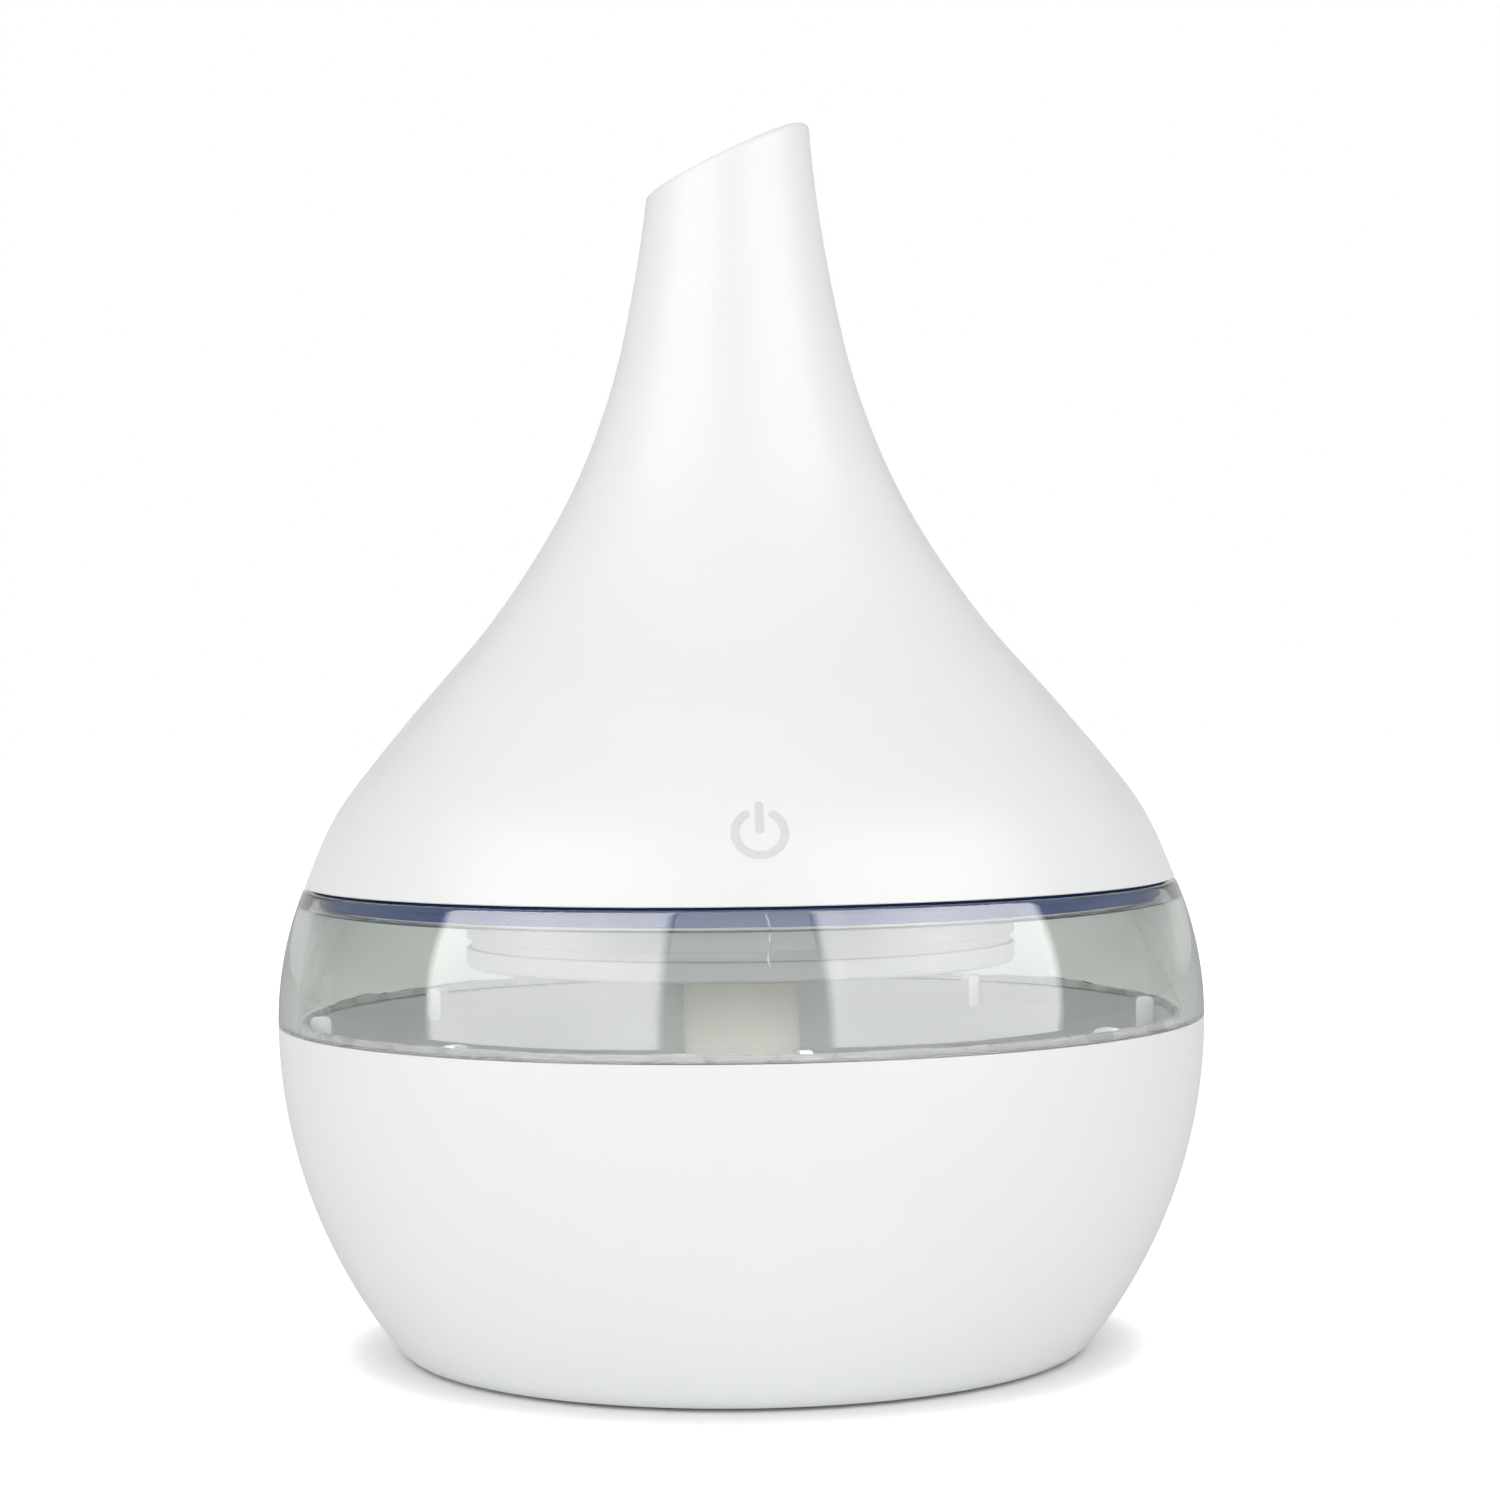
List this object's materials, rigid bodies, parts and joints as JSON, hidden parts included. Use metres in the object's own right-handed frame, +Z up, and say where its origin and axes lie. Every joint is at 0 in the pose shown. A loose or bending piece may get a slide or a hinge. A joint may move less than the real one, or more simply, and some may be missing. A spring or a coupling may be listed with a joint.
{
  "type": "cool mist humidifier",
  "caption": "Drop-shaped cool mist humidifier: white bowl and clear ring as the tank, lift-off cover with slanted mist mouth, atomiser, and sprung wick in a twist-lock sleeve.",
  "frame": {"origin": "middle of the underside, in the plane the feet stand on", "axes": "+Z up; -Y is the front, with the power mark; +X is the side where the slanted mouth is highest"},
  "size_m": [0.102, 0.102, 0.1353],
  "materials": {
    "gloss_white": "smooth moulded white plastic, soft gloss",
    "inner_white": "satin moulded plastic",
    "clear_plastic": "polished clear plastic with a faint smoky tint",
    "sealant": "uneven cured glue",
    "navy_silicone": "satin silicone",
    "pale_silicone": "satin silicone",
    "grey_rubber": "matte rubber",
    "cotton": "pressed cotton fibre",
    "steel": "plated steel",
    "brass": "plated spring wire",
    "ceramic": "fired ceramic",
    "board_green": "solder mask",
    "chip_black": "moulded component body",
    "led_yellow": "LED resin",
    "wire_red": "wire insulation",
    "wire_black": "wire insulation"
  },
  "bodies": {
    "tank": {"base_bowl": "gloss_white", "clear_ring": "clear_plastic", "glue_bead": "sealant", "foot_pad_1": "grey_rubber", "foot_pad_2": "grey_rubber", "foot_pad_3": "grey_rubber", "foot_pad_4": "grey_rubber", "tank_seal": "navy_silicone"},
    "cover": {"spout_cover": "gloss_white", "lower_plate": "inner_white", "wick_socket": "inner_white", "mist_tube": "inner_white", "duct_o_ring": "pale_silicone", "atomiser_seal": "pale_silicone", "atomiser_disc": "ceramic", "atomiser_mesh": "steel", "main_pcb": "board_green", "usb_socket": "steel", "control_chip": "chip_black", "inductor": "chip_black", "capacitor": "chip_black", "touch_board": "board_green", "led_1": "led_yellow", "led_2": "led_yellow", "led_3": "led_yellow", "touch_spring": "brass", "atomiser_lead_1": "wire_red", "atomiser_lead_2": "wire_black", "pcb_screw_1": "steel", "pcb_screw_2": "steel", "pcb_screw_3": "steel", "plate_screw_1": "steel", "plate_screw_2": "steel", "plate_screw_3": "steel", "plate_screw_4": "steel", "tube_screw_1": "steel", "tube_screw_2": "steel"},
    "sleeve": {"wick_sleeve": "inner_white", "sleeve_o_ring": "pale_silicone"},
    "wick": {"wick": "cotton", "wick_spring": "steel"}
  },
  "joints": [
    {"name": "cover_lift", "type": "slide", "parent": "tank", "child": "cover", "axis": [0, 0, 1], "range_m": [0, 0.07]},
    {"name": "sleeve_twist", "type": "hinge", "parent": "cover", "child": "sleeve", "pos_m": [0, 0, 0.05], "axis": [0, 0, 1], "range_deg": [0, 45]},
    {"name": "wick_press", "type": "slide", "parent": "sleeve", "child": "wick", "axis": [0, 0, 1], "range_m": [-0.004, 0], "stiffness_N_per_m": 150, "springref_m": 0.003, "deforming": ["wick_spring"]}
  ]
}
